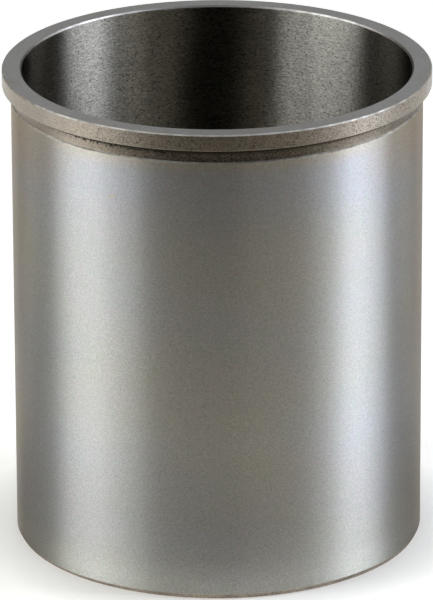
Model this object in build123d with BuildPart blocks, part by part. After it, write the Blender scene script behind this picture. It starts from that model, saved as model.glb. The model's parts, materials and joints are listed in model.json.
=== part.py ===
from build123d import *
from math import radians, tan
import os

# A thin-walled cylinder liner with a top flange, turned, bored and ground from one cast iron tube.
# It stands on its lower end: Z is the axis of the bore, and the origin is the centre of the foot.

# Driving dimensions, in millimetres and degrees
bore_diameter = 100.0
wall = 2.75
length = 125.6

flange_overhang = 2.25
flange_height = 4.3
rim_chamfer = 0.3
seat_edge_chamfer = 0.2

# The relief is the shallow groove under the flange, where the grinding wheel runs out
relief_width = 3.9
relief_depth = 0.4
relief_runout_angle = 60.0
relief_corner_radius = 0.8

bore_chamfer = 0.4
lead_in_height = 1.2
lead_in_inset = 0.6

# Radii and heights that follow from them
bore_radius = bore_diameter / 2
body_radius = bore_radius + wall
flange_radius = body_radius + flange_overhang
relief_radius = body_radius - relief_depth
foot_radius = body_radius - lead_in_inset

seat_z = length - flange_height
body_top_z = seat_z - relief_width
relief_floor_z = body_top_z + relief_depth / tan(radians(relief_runout_angle))


def ring_edges(face_name):
    """Circular edges of one flat ring face, the inner one first."""
    flat_faces = cylinder_liner.faces().filter_by(Axis.Z).sort_by(Axis.Z)
    face = dict(zip(("foot", "seat", "top"), flat_faces))[face_name]
    return face.edges().filter_by(GeomType.CIRCLE).sort_by(SortBy.RADIUS)


with BuildPart() as cylinder_liner:
    # Section of the tube wall, with the lead-in at its foot, the relief and the flange
    with BuildSketch(Plane.XZ):
        with BuildLine():
            Polyline(
                (bore_radius, 0),
                (foot_radius, 0),
                (body_radius, lead_in_height),
                (body_radius, body_top_z),
                (relief_radius, relief_floor_z),
                (relief_radius, seat_z),
                (flange_radius, seat_z),
                (flange_radius, length),
                (bore_radius, length),
                close=True,
            )
        make_face()
    revolve(axis=Axis.Z)

    # The relief runs into the flange's seat in a radius, which keeps the corner from cracking
    fillet(ring_edges("seat")[0], relief_corner_radius)

    # Edge breaks of the flange
    chamfer(ring_edges("seat")[-1], seat_edge_chamfer)
    chamfer(ring_edges("top")[-1], rim_chamfer)

    # Both mouths of the bore, where the piston rings go in
    chamfer([ring_edges("top")[0], ring_edges("foot")[0]], bore_chamfer)

cylinder_liner.part.label = "cylinder_liner"

os.makedirs("parts", exist_ok=True)
export_step(cylinder_liner.part, "parts/cylinder_liner.step")
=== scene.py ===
import json
from math import cos, pi, radians, sin, tan

import bpy
from mathutils import Matrix, Vector, noise


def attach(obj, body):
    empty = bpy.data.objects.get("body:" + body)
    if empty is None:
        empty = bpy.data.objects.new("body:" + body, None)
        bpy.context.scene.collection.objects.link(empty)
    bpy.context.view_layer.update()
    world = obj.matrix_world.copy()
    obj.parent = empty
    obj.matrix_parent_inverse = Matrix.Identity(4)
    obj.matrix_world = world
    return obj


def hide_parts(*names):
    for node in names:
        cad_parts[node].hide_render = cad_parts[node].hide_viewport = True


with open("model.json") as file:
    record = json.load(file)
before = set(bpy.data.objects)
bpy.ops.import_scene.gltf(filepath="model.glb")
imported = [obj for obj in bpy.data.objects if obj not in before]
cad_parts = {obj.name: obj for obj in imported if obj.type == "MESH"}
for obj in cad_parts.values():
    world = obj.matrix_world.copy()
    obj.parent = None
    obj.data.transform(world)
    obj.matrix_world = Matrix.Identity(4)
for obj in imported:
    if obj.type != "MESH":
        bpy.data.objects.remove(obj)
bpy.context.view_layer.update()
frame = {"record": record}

# Sizes in metres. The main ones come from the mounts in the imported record, and the small ones repeat
# the section of the solid.
MM = 0.001
mounts = {mount["name"]: mount for mount in frame["record"]["mounts"]}
bore_radius = mounts["piston_bore"]["dims"]["r_mm"] * MM
body_radius = mounts["body_outside"]["dims"]["r_mm"] * MM
flange_radius = mounts["flange_rim"]["dims"]["r_mm"] * MM
seat_z = mounts["flange_seat"]["pos_m"][2]
length = mounts["gasket_face"]["pos_m"][2]

rim_chamfer = 0.3 * MM
seat_edge_chamfer = 0.2 * MM
relief_width = 3.9 * MM
relief_depth = 0.4 * MM
relief_runout_angle = radians(60)
relief_corner_radius = 0.8 * MM
bore_chamfer = 0.4 * MM
lead_in_height = 1.2 * MM
lead_in_inset = 0.6 * MM

relief_radius = body_radius - relief_depth
body_top_z = seat_z - relief_width
relief_floor_z = body_top_z + relief_depth / tan(relief_runout_angle)

# Finishes, in the order of the liner's materials
GROUND, TURNED, FACED, BORED, EDGE, MOUTH, LEAD_IN = range(7)

# Fineness of the turned mesh
SEGMENTS = 384
LONGEST_ROW = 4 * MM
EDGE_ROUND = 0.08 * MM
SMALL_EDGE_ROUND = 0.04 * MM
BODY_TOP_ROUND = 0.2 * MM
EDGE_STEPS = 3
CORNER_STEPS = 8

# How unevenly the tool and the handling left two of the edges: reach up and down, and waves per radius.
# Rows within the zone of an edge move with it.
LEAD_IN_WANDER = (0.3 * MM, 1.3)
BODY_TOP_WANDER = (0.05 * MM, 30)
WANDER_ZONE = 0.2 * MM


def section():
    """Corners of the wall's section: radius, height, rounding, and the finish of the run that follows."""
    return [
        (bore_radius + bore_chamfer, 0.0, EDGE_ROUND, FACED),
        (body_radius - lead_in_inset, 0.0, EDGE_ROUND, LEAD_IN),
        (body_radius, lead_in_height, EDGE_ROUND, GROUND),
        (body_radius, body_top_z, BODY_TOP_ROUND, EDGE),
        (relief_radius, relief_floor_z, EDGE_ROUND, TURNED),
        (relief_radius, seat_z, relief_corner_radius, TURNED),
        (flange_radius - seat_edge_chamfer, seat_z, SMALL_EDGE_ROUND, TURNED),
        (flange_radius, seat_z + seat_edge_chamfer, SMALL_EDGE_ROUND, TURNED),
        (flange_radius, length - rim_chamfer, EDGE_ROUND, EDGE),
        (flange_radius - rim_chamfer, length, EDGE_ROUND, FACED),
        (bore_radius + bore_chamfer, length, EDGE_ROUND, MOUTH),
        (bore_radius, length - bore_chamfer, EDGE_ROUND, BORED),
        (bore_radius, bore_chamfer, EDGE_ROUND, MOUTH),
    ]


def rounded(before, corner, after, radius, steps):
    """Points of the arc that rounds a corner, each with the outline's direction there."""
    arriving = (corner - before).normalized()
    leaving = (after - corner).normalized()
    turn = arriving.angle_signed(leaving)
    reach = radius * tan(abs(turn) / 2)
    inwards = Matrix.Rotation(pi / 2 if turn < 0 else -pi / 2, 2) @ arriving
    centre = corner - arriving * reach + inwards * radius
    arc = []
    for step in range(steps + 1):
        swing = Matrix.Rotation(-turn * step / steps, 2)
        arc.append((centre - swing @ inwards * radius, swing @ arriving))
    return arc


def outline():
    """Rows round the section: point, direction, and the finish of the faces that follow."""
    corners = section()
    points = []
    for index, (radius, height, rounding, finish) in enumerate(corners):
        before = Vector(corners[index - 1][:2])
        after = Vector(corners[(index + 1) % len(corners)][:2])
        large = rounding > BODY_TOP_ROUND
        steps = CORNER_STEPS if large else EDGE_STEPS
        arc = rounded(before, Vector((radius, height)), after, rounding, steps)
        points += [(*stop, finish if large else EDGE) for stop in arc[:-1]]
        points.append((*arc[-1], finish))
    rows = []
    for index, (point, direction, finish) in enumerate(points):
        following = points[(index + 1) % len(points)][0]
        parts = max(1, round((following - point).length / LONGEST_ROW))
        rows += [(point.lerp(following, part / parts), direction, finish) for part in range(parts)]
    return rows


def wander(height, angle):
    """How far the edge at a height strays up or down at an angle."""
    for edge_z, (reach, waves) in ((lead_in_height, LEAD_IN_WANDER), (body_top_z, BODY_TOP_WANDER)):
        if abs(height - edge_z) < WANDER_ZONE:
            return reach * noise.noise(Vector((cos(angle), sin(angle), edge_z / MM)) * waves)
    return 0.0


def turned_mesh(name):
    """The section swept round the axis, as quads with a finish each, exact normals and a flat map."""
    rows = outline()
    count = len(rows)
    vertices = []
    normals = []
    for segment in range(SEGMENTS):
        angle = 2 * pi * segment / SEGMENTS
        for point, direction, _ in rows:
            height = point.y + wander(point.y, angle)
            vertices.append((point.x * cos(angle), point.x * sin(angle), height))
            normals.append((direction.y * cos(angle), direction.y * sin(angle), -direction.x))
    runs = [(rows[(row + 1) % count][0] - rows[row][0]).length for row in range(count)]
    along = [sum(runs[:row]) / sum(runs) for row in range(count + 1)]
    faces = []
    finishes = []
    flat_map = []
    for segment in range(SEGMENTS):
        here = segment * count
        there = (segment + 1) % SEGMENTS * count
        left = segment / SEGMENTS
        right = (segment + 1) / SEGMENTS
        for row in range(count):
            after = (row + 1) % count
            faces.append((here + row, there + row, there + after, here + after))
            finishes.append(rows[row][2])
            flat_map += [left, along[row], right, along[row], right, along[row + 1], left, along[row + 1]]
    mesh = bpy.data.meshes.new(name)
    mesh.from_pydata(vertices, [], faces)
    mesh.polygons.foreach_set("material_index", finishes)
    mesh.polygons.foreach_set("use_smooth", [True] * len(faces))
    mesh.uv_layers.new(name="OFBake").uv.foreach_set("vector", flat_map)
    mesh.normals_split_custom_set_from_vertices(normals)
    return mesh


# Node helpers. A value that they take is a number, a colour or another node's socket.
NOISE_ENDS = (0.3, 0.7)

# Sockets of a Mix node that blends colours
MIX_SHARE, MIX_FIRST, MIX_SECOND = 0, 6, 7
MIX_RESULT = 2


def put(tree, socket, value):
    """Links a socket to an input, or writes a plain value there."""
    if isinstance(value, bpy.types.NodeSocket):
        tree.links.new(value, socket)
    else:
        socket.default_value = value


def new_node(tree, kind, properties=None, **inputs):
    """A node with its properties and inputs set by name."""
    made = tree.nodes.new(kind)
    for name, value in (properties or {}).items():
        setattr(made, name, value)
    for name, value in inputs.items():
        put(tree, made.inputs[name.replace("_", " ")], value)
    return made


def maths(tree, operation, first, second):
    made = new_node(tree, "ShaderNodeMath", {"operation": operation})
    put(tree, made.inputs[0], first)
    put(tree, made.inputs[1], second)
    return made.outputs["Value"]


def times(tree, first, second):
    return maths(tree, "MULTIPLY", first, second)


def plus(tree, first, second):
    return maths(tree, "ADD", first, second)


def larger(tree, first, second):
    return maths(tree, "MAXIMUM", first, second)


def between(tree, value, low, high, low_result=0.0, high_result=1.0):
    """A value's place from low to high, held at both ends."""
    made = new_node(
        tree, "ShaderNodeMapRange", Value=value,
        From_Min=low, From_Max=high, To_Min=low_result, To_Max=high_result,
    )
    return made.outputs["Result"]


def by_noise(tree, value, low_result, high_result):
    """A result that follows noise, given at the ends that noise usually reaches."""
    return between(tree, value, *NOISE_ENDS, low_result, high_result)


def blend_colours(tree, share, first, second, blend_type="MIX"):
    made = new_node(tree, "ShaderNodeMix", {"data_type": "RGBA", "blend_type": blend_type})
    put(tree, made.inputs[MIX_SHARE], share)
    put(tree, made.inputs[MIX_FIRST], first)
    put(tree, made.inputs[MIX_SECOND], second)
    return made.outputs[MIX_RESULT]


def tint(tree, share, colour, factor):
    """A colour multiplied by a factor, as far as the share says."""
    return blend_colours(tree, share, colour, factor, "MULTIPLY")


def place(tree):
    return new_node(tree, "ShaderNodeTexCoord").outputs["Object"]


def coordinates(tree):
    return new_node(tree, "ShaderNodeSeparateXYZ", Vector=place(tree)).outputs


def size_of(tree, vector):
    made = new_node(tree, "ShaderNodeVectorMath", {"operation": "LENGTH"}, Vector=vector)
    return made.outputs["Value"]


def grain(tree, around, tall, detail=2.0):
    """Noise from 0 to 1 whose spots are so wide around the axis and so tall, in metres."""
    scale = (1 / around, 1 / around, 1 / tall)
    scaled = new_node(tree, "ShaderNodeMapping", Vector=place(tree), Scale=scale).outputs["Vector"]
    return new_node(tree, "ShaderNodeTexNoise", Vector=scaled, Scale=1.0, Detail=detail).outputs["Fac"]


def near_spot(tree, spot, full, faded):
    """1 within a distance of a spot, and 0 farther off."""
    gap = new_node(tree, "ShaderNodeVectorMath", {"operation": "DISTANCE"}, Vector=place(tree))
    gap.inputs[1].default_value = spot
    return between(tree, gap.outputs["Value"], full, faded, 1.0, 0.0)


def at_sides(tree, near, far):
    """0 in the middle and 1 at the left and right, turning between two distances from the middle."""
    return between(tree, maths(tree, "ABSOLUTE", coordinates(tree)["X"], 0.0), near, far)


def shade(tree, colour, value, dark, light):
    """A colour made darker and lighter by noise: dark and light are its factors at the noise's ends."""
    factor = by_noise(tree, value, dark, light)
    grey = new_node(tree, "ShaderNodeCombineColor", Red=factor, Green=factor, Blue=factor)
    return tint(tree, 1.0, colour, grey.outputs["Color"])


# A quarter turn of the anisotropy stretches the gloss upright, across tool marks that run round the axis
UPRIGHT_GLOSS = 0.25


def iron(name, anisotropy):
    """A bare metal: the material, its tree and its shader."""
    made = bpy.data.materials.new(name)
    made.use_nodes = True
    shader = made.node_tree.nodes["Principled BSDF"]
    shader.inputs["Metallic"].default_value = 1.0
    shader.inputs["Anisotropic"].default_value = anisotropy
    shader.inputs["Anisotropic Rotation"].default_value = UPRIGHT_GLOSS
    return made, made.node_tree, shader


def set_finish(tree, shader, colour, roughness, relief, depth, strength):
    """Sets a metal's colour, its roughness and its bump, which is so high where the relief is 1."""
    put(tree, shader.inputs["Base Color"], colour)
    put(tree, shader.inputs["Roughness"], roughness)
    bump = new_node(tree, "ShaderNodeBump", Height=relief, Distance=depth, Strength=strength)
    tree.links.new(bump.outputs["Normal"], shader.inputs["Normal"])


# Ground body: its greys and tints, with painted shade at the upper sides and in a band above the foot, and
# the heights and distances from the middle where they turn
GROUND_COOL = (0.54, 0.545, 0.575, 1)
GROUND_WARM = (0.565, 0.553, 0.503, 1)
GROUND_LILAC = (0.58, 0.545, 0.575, 1)
GROUND_PAINTED_SIDE_SHADE = (0.6, 0.535, 0.465, 1)
GROUND_STRAW = (0.61, 0.555, 0.47, 1)
GROUND_GRAZING = (0.5, 0.44, 0.38, 1)
MOTTLE_PINK = (1.015, 0.995, 1.02, 1)
MOTTLE_GREEN = (0.965, 1.02, 0.97, 1)
GROUND_PAINTED_SHADE_BAND = (0.865, 0.865, 0.875, 1)
COOL_HEIGHTS = (90 * MM, 108 * MM)
WARM_FOOT_HEIGHT = 16 * MM
PAINTED_SHADE_SIDES = (34 * MM, 44 * MM)
PAINTED_SHADE_HEIGHTS = (100 * MM, 112 * MM)
STRAW_HEIGHT = 3.5 * MM
SHADE_BAND_RISE = (4 * MM, 10 * MM)
SHADE_BAND_FALL = (20 * MM, 42 * MM)
GLOSS_HEIGHTS = (60 * MM, 115 * MM)

# A short yellowish scratch on the body: its middle, the way it is turned, its half lengths and its tint.
# It fades between two shares of those half lengths.
SCRATCH_AT = (-26.4 * MM, -45.7 * MM, 106.5 * MM)
SCRATCH_TURN = (0.0, radians(-23), radians(-30))
SCRATCH_SIZE = (1.9 * MM, 1.9 * MM, 0.3 * MM)
SCRATCH_TINT = (1.06, 0.96, 0.78, 1)
SCRATCH_FADE = (0.6, 1.1)


def scratch(tree):
    """1 inside a small slanted oval, and 0 outside it."""
    oval = new_node(
        tree, "ShaderNodeMapping", {"vector_type": "TEXTURE"},
        Vector=place(tree), Location=SCRATCH_AT, Rotation=SCRATCH_TURN, Scale=SCRATCH_SIZE,
    )
    return between(tree, size_of(tree, oval.outputs["Vector"]), *SCRATCH_FADE, 1.0, 0.0)


def ground_iron():
    """The ground body: fine grain, cool grey near its top, warm grey below, with faint lilac clouds.

    It is brown at the upper sides, which is painted shade, straw at the top edge, darker in a band of
    painted shade above the foot, and scratched.
    """
    made, tree, shader = iron("ground_iron", 0.95)
    shader.inputs["Specular Tint"].default_value = GROUND_GRAZING
    height = coordinates(tree)["Z"]
    marks = grain(tree, 14 * MM, 0.22 * MM)
    speckle = grain(tree, 0.4 * MM, 0.27 * MM)
    clouds = grain(tree, 40 * MM, 28 * MM, 3.0)
    lilac = between(tree, grain(tree, 22 * MM, 14 * MM, 3.0), 0.48, 0.68, 0.0, 0.4)
    mottle = between(tree, grain(tree, 1.3 * MM, 0.9 * MM), 0.38, 0.62)

    warmth = between(tree, height, *COOL_HEIGHTS, 0.7, 0.1)
    warmth = plus(tree, warmth, between(tree, height, WARM_FOOT_HEIGHT, 0.0, 0.0, 0.8))
    warmth = plus(tree, warmth, between(tree, clouds, 0.35, 0.65, -0.3, 0.3))
    colour = blend_colours(tree, between(tree, warmth, 0.0, 1.0), GROUND_COOL, GROUND_WARM)
    colour = blend_colours(tree, lilac, colour, GROUND_LILAC)

    # Painted shade: brown at the upper sides of the body, to the left and right
    brown = times(tree, at_sides(tree, *PAINTED_SHADE_SIDES), between(tree, height, *PAINTED_SHADE_HEIGHTS, 0.0, 0.85))
    straw = between(tree, height, body_top_z - STRAW_HEIGHT, body_top_z, 0.0, 0.9)
    # Painted shade: a darker band all round above the foot
    dull = between(tree, height, *SHADE_BAND_RISE)
    dull = times(tree, dull, between(tree, height, *SHADE_BAND_FALL, 1.0, 0.0))
    colour = blend_colours(tree, brown, colour, GROUND_PAINTED_SIDE_SHADE)
    colour = blend_colours(tree, straw, colour, GROUND_STRAW)
    colour = tint(tree, dull, colour, GROUND_PAINTED_SHADE_BAND)

    colour = tint(tree, 1.0, colour, blend_colours(tree, mottle, MOTTLE_PINK, MOTTLE_GREEN))
    colour = tint(tree, scratch(tree), colour, SCRATCH_TINT)
    colour = shade(tree, colour, marks, 0.98, 1.02)
    colour = shade(tree, colour, speckle, 0.82, 1.18)
    roughness = between(tree, height, *GLOSS_HEIGHTS, 0.45, 0.38)
    roughness = plus(tree, roughness, by_noise(tree, speckle, 0.02, -0.02))
    set_finish(tree, shader, colour, roughness, plus(tree, marks, speckle), 0.003 * MM, 0.4)
    return made


# Turned rim, relief and seat: colours, the places of grime, of painted shade and of painted highlights,
# and how far the grime and painted shadow hang below the seat
RELIEF_DULL = (0.31, 0.268, 0.212, 1)
RELIEF_HIGHLIGHT = (0.48, 0.415, 0.34, 1)
RIM_DULL = (0.41, 0.36, 0.295, 1)
RIM_HIGHLIGHT = (0.68, 0.605, 0.505, 1)
TURNED_PIT = (0.06, 0.052, 0.045, 1)
DIRT_AND_SHADE = (0.03, 0.026, 0.022, 1)
FRONT_SHADE_AT = (2 * MM, -52 * MM, seat_z)
SPECKS_AT = (-26 * MM, -45 * MM, seat_z)
RELIEF_HIGHLIGHT_AT = (-47 * MM, -29 * MM, seat_z)
RIM_HIGHLIGHT_LEFT_AT = (-50 * MM, -23 * MM, seat_z)
RIM_HIGHLIGHT_RIGHT_AT = (53 * MM, -14 * MM, seat_z)
RIM_FROM = (seat_z, seat_z + 0.1 * MM)
DIRT_AND_SHADOW_HANG = 1.7 * MM
SHADOW_HANG_IN_FRONT = 0.9 * MM
DIRT_AND_SHADOW_FULL_HANG = 1.1 * MM
SPECKS_FROM = (seat_z - 2.5 * MM, seat_z - 1.5 * MM)


def flange_dirt_and_shade(tree, height, spots):
    """How dark the relief is made: grime and painted shadow in its corner all round, hanging lower in
    front, grime in specks at the left, and a stain in front that is partly grime and partly painted shade.
    """
    front = near_spot(tree, FRONT_SHADE_AT, 14 * MM, 33 * MM)
    corner_from = maths(tree, "SUBTRACT", seat_z - DIRT_AND_SHADOW_HANG, times(tree, front, SHADOW_HANG_IN_FRONT))
    corner = between(tree, height, corner_from, seat_z - DIRT_AND_SHADOW_FULL_HANG, 0.0, 0.85)
    specks = between(tree, grain(tree, 0.8 * MM, 0.6 * MM, 1.0), 0.50, 0.58)
    specks = times(tree, specks, near_spot(tree, SPECKS_AT, 14 * MM, 26 * MM))
    specks = times(tree, specks, between(tree, height, *SPECKS_FROM))
    stain_and_shade = times(tree, front, between(tree, spots, 0.35, 0.6, 0.7, 0.25))
    return larger(tree, larger(tree, corner, specks), stain_and_shade)


def turned_iron():
    """The flange's rim, the relief and the seat: warm grey with coarse grain, pits, grime and painted
    shadow.

    The relief is lighter with less grain at the left, and the rim lighter at both sides: painted
    highlights.
    """
    made, tree, shader = iron("turned_iron", 0.86)
    height = coordinates(tree)["Z"]
    spots = grain(tree, 0.5 * MM, 0.3 * MM, 3.0)
    marks = grain(tree, 5 * MM, 0.2 * MM)
    pits = between(tree, grain(tree, 0.55 * MM, 0.4 * MM, 1.0), 0.60, 0.68, 0.0, 0.65)
    on_rim = between(tree, height, *RIM_FROM)
    # Grime and painted shadow under the flange, kept off the rim
    dirt_and_shade = times(tree, flange_dirt_and_shade(tree, height, spots), maths(tree, "SUBTRACT", 1.0, on_rim))

    # Painted highlights: lighter patches on the relief at the left and on the rim at both sides
    relief_highlight = near_spot(tree, RELIEF_HIGHLIGHT_AT, 12 * MM, 28 * MM)
    rim_highlight_left = near_spot(tree, RIM_HIGHLIGHT_LEFT_AT, 8 * MM, 20 * MM)
    rim_highlight_right = times(tree, near_spot(tree, RIM_HIGHLIGHT_RIGHT_AT, 6 * MM, 22 * MM), 0.75)
    relief = blend_colours(tree, relief_highlight, RELIEF_DULL, RELIEF_HIGHLIGHT)
    rim = blend_colours(tree, larger(tree, rim_highlight_left, rim_highlight_right), RIM_DULL, RIM_HIGHLIGHT)
    plain = blend_colours(tree, on_rim, relief, rim)

    colour = shade(tree, plain, spots, 0.56, 1.42)
    colour = shade(tree, colour, marks, 0.92, 1.08)
    colour = blend_colours(tree, pits, colour, TURNED_PIT)
    colour = blend_colours(tree, times(tree, relief_highlight, 0.6), colour, plain)
    # Grime and painted shadow darken the relief
    colour = blend_colours(tree, dirt_and_shade, colour, DIRT_AND_SHADE)
    roughness = by_noise(tree, spots, 0.38, 0.54)
    set_finish(tree, shader, colour, roughness, plus(tree, marks, spots), 0.02 * MM, 0.5)
    return made


# Faced top and foot
FACED_GREY = (0.513, 0.494, 0.46, 1)
FACED_BROWN = (0.49, 0.45, 0.395, 1)
FACED_PAINTED_SHADE = (0.83, 0.83, 0.82, 1)
RING_PITCH = 0.16 * MM


def faced_iron():
    """The faced top and foot: matt grey with fine rings from the facing tool and faint brown clouds.

    It is darker at the front of the top, which is painted shade.
    """
    made, tree, shader = iron("faced_iron", 0.0)
    spots = grain(tree, 0.5 * MM, 0.5 * MM)
    clouds = between(tree, grain(tree, 9 * MM, 9 * MM, 3.0), 0.45, 0.65, 0.0, 0.6)
    flat = new_node(tree, "ShaderNodeVectorMath", {"operation": "MULTIPLY"}, Vector=place(tree))
    flat.inputs[1].default_value = (1, 1, 0)
    rings = new_node(
        tree, "ShaderNodeTexNoise", {"noise_dimensions": "1D"},
        W=size_of(tree, flat.outputs["Vector"]), Scale=1 / RING_PITCH, Detail=1.0,
    ).outputs["Fac"]
    colour = blend_colours(tree, clouds, FACED_GREY, FACED_BROWN)
    colour = shade(tree, colour, spots, 0.88, 1.12)
    colour = shade(tree, colour, rings, 0.95, 1.05)
    # Painted shade: the front of the top face is darker
    colour = tint(tree, near_spot(tree, FRONT_SHADE_AT, 8 * MM, 32 * MM), colour, FACED_PAINTED_SHADE)
    roughness = by_noise(tree, spots, 0.82, 0.88)
    set_finish(tree, shader, colour, roughness, plus(tree, spots, rings), 0.006 * MM, 0.3)
    return made


# Bore
BORE_GREY = (0.56, 0.53, 0.46, 1)
BORE_FLECK = (0.9, 0.88, 0.82, 1)
BORE_PIT = (0.07, 0.065, 0.055, 1)
BORE_GRAZING = (0.1, 0.11, 0.16, 1)


def bored_iron():
    """The bore: small dark pits, bright flecks and short scores left by the boring tool."""
    made, tree, shader = iron("bored_iron", 1.0)
    shader.inputs["Specular Tint"].default_value = BORE_GRAZING
    spots = grain(tree, 0.8 * MM, 0.28 * MM, 3.0)
    scores = grain(tree, 3 * MM, 0.3 * MM, 3.0)
    blotches = grain(tree, 16 * MM, 20 * MM)
    pits = between(tree, grain(tree, 0.6 * MM, 0.4 * MM, 1.0), 0.61, 0.70, 0.0, 0.8)
    flecks = between(tree, grain(tree, 0.9 * MM, 0.3 * MM, 1.0), 0.60, 0.72, 0.0, 0.6)
    colour = shade(tree, BORE_GREY, spots, 0.6, 1.38)
    colour = shade(tree, colour, scores, 0.82, 1.18)
    colour = shade(tree, colour, blotches, 0.92, 1.08)
    colour = blend_colours(tree, flecks, colour, BORE_FLECK)
    colour = blend_colours(tree, pits, colour, BORE_PIT)
    roughness = by_noise(tree, scores, 0.34, 0.29)
    set_finish(tree, shader, colour, roughness, plus(tree, scores, spots), 0.012 * MM, 0.5)
    return made


# Small edges, the bore's mouths and the lead-in
EDGE_GREY = (0.68, 0.65, 0.59, 1)
MOUTH_GREY = (0.72, 0.69, 0.64, 1)
EDGE_PAINTED_SHADE = (0.72, 0.68, 0.63, 1)
EDGE_SHADE_SIDES = (38 * MM, 50 * MM)
LEAD_IN_BROWN = (0.42, 0.36, 0.30, 1)


def edge_iron(name, colour, dull, bright):
    """Small chamfers and edges, rubbed bright here and there: dull and bright are their roughnesses.

    They are darker at both sides of the liner, which is painted shade.
    """
    made, tree, shader = iron(name, 0.0)
    wear = grain(tree, 2.5 * MM, 2.5 * MM, 3.0)
    colour = shade(tree, colour, wear, 0.78, 1.22)
    # Painted shade: darker at both sides of the liner
    colour = tint(tree, at_sides(tree, *EDGE_SHADE_SIDES), colour, EDGE_PAINTED_SHADE)
    spots = grain(tree, 0.5 * MM, 0.5 * MM)
    set_finish(tree, shader, colour, by_noise(tree, wear, dull, bright), spots, 0.01 * MM, 0.4)
    return made


def lead_in_iron():
    """The lead-in at the foot: left brown and dull by the lathe."""
    made, tree, shader = iron("lead_in_iron", 0.3)
    spots = grain(tree, 0.6 * MM, 0.4 * MM, 3.0)
    blotches = grain(tree, 9 * MM, 9 * MM)
    colour = shade(tree, LEAD_IN_BROWN, spots, 0.65, 1.3)
    colour = shade(tree, colour, blotches, 0.8, 1.2)
    set_finish(tree, shader, colour, by_noise(tree, spots, 0.65, 0.55), spots, 0.015 * MM, 0.5)
    return made


def link(name, data):
    """An object of that data, in the scene."""
    made = bpy.data.objects.new(name, data)
    bpy.context.scene.collection.objects.link(made)
    return made


# The liner
liner_mesh = turned_mesh("liner")
for material in (
    ground_iron(),
    turned_iron(),
    faced_iron(),
    bored_iron(),
    edge_iron("edge_iron", EDGE_GREY, dull=0.78, bright=0.58),
    edge_iron("mouth_iron", MOUTH_GREY, dull=0.48, bright=0.36),
    lead_in_iron(),
):
    liner_mesh.materials.append(material)
liner = link("liner", liner_mesh)
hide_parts("cylinder_liner")
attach(liner, "root")


# Stage: the camera sees one plain pale floor before a pale world. All other rays, such as those that the
# metal mirrors, see it with painted shade like a studio's: greyer at both sides, in strips in front, dark
# in the bore.
FLOOR_REACH = 3.0
FLOOR_ROUGHNESS = 0.9
FLOOR_PALE = (0.86, 0.845, 0.81, 1)
FLOOR_SIDE_SHADE = (0.61, 0.60, 0.58, 1)
FLOOR_SHADE = (0.18, 0.171, 0.158, 1)
FLOOR_WARM = (0.84, 0.765, 0.655, 1)
FLOOR_DARK_SHADE = (0.04, 0.038, 0.034, 1)
FLOOR_BORE_SHADE = (0.02, 0.019, 0.017, 1)
INSIDE_FADE = 1 * MM

# Where the painted shade at the sides ends towards the back, as Y over X, with the least X that it is
# divided by.
# Then the strips towards the front: the Y between which each one comes in, and its colour.
BACK_SLANT = (0.3, 0.6)
LEAST_ASIDE = 1 * MM
FLOOR_STRIPS = (
    ((-0.022, -0.034), FLOOR_PALE),
    ((-0.064, -0.070), FLOOR_SHADE),
    ((-0.084, -0.10), FLOOR_WARM),
    ((-0.15, -0.20), FLOOR_DARK_SHADE),
)

# The floor's glow round the liner, its share in the shadow beside the foot, and the glow far off, which
# takes over between two distances
GLOW = 0.7
SHADOW_GLOW = 0.45
SHADOW_REACH = 0.015
FAR_GLOW = 0.95
FAR_GLOW_FROM = (0.45, 0.8)
WORLD_STRENGTH = 0.006

# Soft panels: their distance from the axis, and the tints of their light
PANEL_DISTANCE = 0.9
COOL = (0.93, 0.99, 1.125)
NEUTRAL = (0.965, 1.0, 1.035)
WARM = (1.0, 0.92, 0.80)


def floor_glow(tree, away):
    """The white that the camera and the metal see round the liner, weaker in its shadow.

    Far off, where the lamps leave the floor dark, it goes on for the camera and ends for the metal. In the
    bore, only the camera sees it.
    """
    ray = new_node(tree, "ShaderNodeLightPath").outputs
    near = between(tree, away, body_radius, body_radius + SHADOW_REACH, SHADOW_GLOW * GLOW, GLOW)
    far = between(tree, away, *FAR_GLOW_FROM, 0.0, FAR_GLOW - GLOW)
    seen = times(tree, ray["Is Camera Ray"], plus(tree, near, far))
    mirrored = larger(tree, ray["Is Glossy Ray"], ray["Is Transmission Ray"])
    mirrored = times(tree, mirrored, maths(tree, "GREATER_THAN", away, bore_radius))
    mirrored = times(tree, mirrored, between(tree, away, *FAR_GLOW_FROM, 1.0, 0.0))
    return larger(tree, seen, times(tree, mirrored, near))


def floor_paint():
    paint = bpy.data.materials.new("floor_paint")
    paint.use_nodes = True
    tree = paint.node_tree
    shader = tree.nodes["Principled BSDF"]
    spot = coordinates(tree)
    away = size_of(tree, place(tree))
    aside = larger(tree, maths(tree, "ABSOLUTE", spot["X"], 0.0), LEAST_ASIDE)
    slant = maths(tree, "DIVIDE", spot["Y"], aside)
    colour = blend_colours(tree, between(tree, slant, *BACK_SLANT), FLOOR_SIDE_SHADE, FLOOR_PALE)
    for start, strip_colour in FLOOR_STRIPS:
        colour = blend_colours(tree, between(tree, spot["Y"], *start), colour, strip_colour)
    # Painted shade: the floor in the bore is dark to all but the camera
    inside = between(tree, away, bore_radius, bore_radius - INSIDE_FADE)
    colour = blend_colours(tree, inside, colour, FLOOR_BORE_SHADE)
    camera_ray = new_node(tree, "ShaderNodeLightPath").outputs["Is Camera Ray"]
    colour = blend_colours(tree, camera_ray, colour, FLOOR_PALE)
    put(tree, shader.inputs["Base Color"], colour)
    shader.inputs["Roughness"].default_value = FLOOR_ROUGHNESS
    put(tree, shader.inputs["Emission Color"], colour)
    put(tree, shader.inputs["Emission Strength"], floor_glow(tree, away))
    return paint


def floor():
    mesh = bpy.data.meshes.new("floor")
    reach = FLOOR_REACH
    corners = [(-reach, -reach, 0), (reach, -reach, 0), (reach, reach, 0), (-reach, reach, 0)]
    mesh.from_pydata(corners, [], [(0, 1, 2, 3)])
    mesh.materials.append(floor_paint())
    link("floor", mesh)


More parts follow.
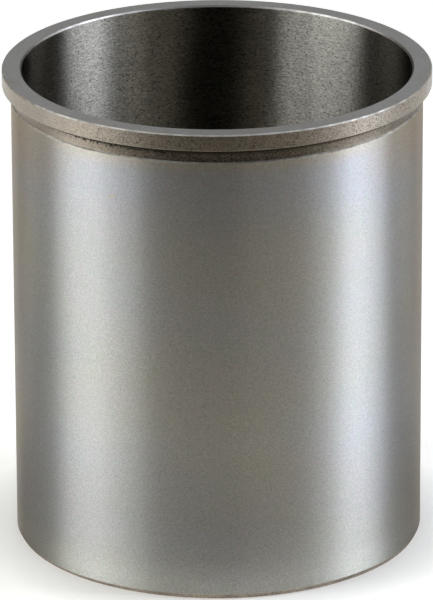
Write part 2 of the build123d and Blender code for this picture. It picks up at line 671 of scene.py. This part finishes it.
def side_panel(name, start, end, low, high, radiance, colour):
    """An upright lamp that faces the axis and is evenly bright, as a mirror would show it.

    It spans two azimuths in degrees, from 0 at the camera's side to 90 at the right, and two heights.
    """
    middle = radians((start + end) / 2)
    width = 2 * PANEL_DISTANCE * tan(radians(abs(end - start)) / 2)
    height = high - low
    away = Vector((sin(middle), -cos(middle), 0))
    lamp = bpy.data.lights.new(name, "AREA")
    lamp.shape = "RECTANGLE"
    lamp.size = width
    lamp.size_y = height
    lamp.energy = radiance * pi * width * height
    lamp.color = colour
    made = link(name, lamp)
    made.location = away * PANEL_DISTANCE + Vector((0, 0, (low + high) / 2))
    made.rotation_euler = away.to_track_quat("Z", "Y").to_euler()


def pale_world():
    """A pale world for the camera, which hardly lights the liner."""
    world = bpy.data.worlds.new("world")
    bpy.context.scene.world = world
    world.use_nodes = True
    tree = world.node_tree
    background = tree.nodes["Background"]
    background.inputs["Color"].default_value = FLOOR_PALE
    camera_ray = new_node(tree, "ShaderNodeLightPath").outputs["Is Camera Ray"]
    strength = between(tree, camera_ray, 0.0, 1.0, WORLD_STRENGTH, FAR_GLOW)
    put(tree, background.inputs["Strength"], strength)


floor()
pale_world()

# Panels at the left and at the right: azimuths, heights, radiance and tint
side_panel("left_key", -96, -64, 0.02, 0.4, 1.6, NEUTRAL)
side_panel("left_top", -93, -61, 0.4, 1.5, 4.1, NEUTRAL)
side_panel("left_back", -114, -98, 0.75, 1.2, 3.6, NEUTRAL)
side_panel("left_rim", -178, -140, 0.02, 0.13, 3.4, NEUTRAL)
side_panel("left_top_feather", -61, -42, 0.4, 1.0, 1.3, NEUTRAL)
side_panel("left_feather", -64, -42, 0.04, 0.4, 0.66, NEUTRAL)
side_panel("left_tail", -42, -18, 0.04, 0.3, 0.09, WARM)
side_panel("right_key", 67, 102, 0.02, 0.4, 1.13, COOL)
side_panel("right_top", 75, 105, 0.4, 1.2, 6.9, COOL)
side_panel("right_back", 104, 118, 0.75, 1.2, 1.8, COOL)
side_panel("right_rim", 138, 168, 0.02, 0.13, 2.2, COOL)
side_panel("right_feather", 50, 67, 0.02, 0.4, 0.6, NEUTRAL)
side_panel("right_tail", 14, 50, 0.02, 0.3, 0.28, WARM)

# Camera, placed against the flange's radius, with its angles in radians
SENSOR = 36.0
FRAME_HEIGHT = 600
focal_pixels = 6562.8
camera_back = 28.953 * flange_radius
camera_height = 11.905 * flange_radius
pitch, yaw, roll = 0.35655, 0.00021, -0.00403

lens = bpy.data.cameras.new("camera")
lens.sensor_width = SENSOR
lens.lens = focal_pixels * SENSOR / FRAME_HEIGHT
camera = link("camera", lens)
camera.matrix_world = (
    Matrix.Translation((0, -camera_back, camera_height))
    @ Matrix.Rotation(yaw, 4, "Z")
    @ Matrix.Rotation(pi / 2 - pitch, 4, "X")
    @ Matrix.Rotation(roll, 4, "Z")
)
bpy.context.scene.camera = camera
bpy.context.scene.view_settings.view_transform = "Standard"
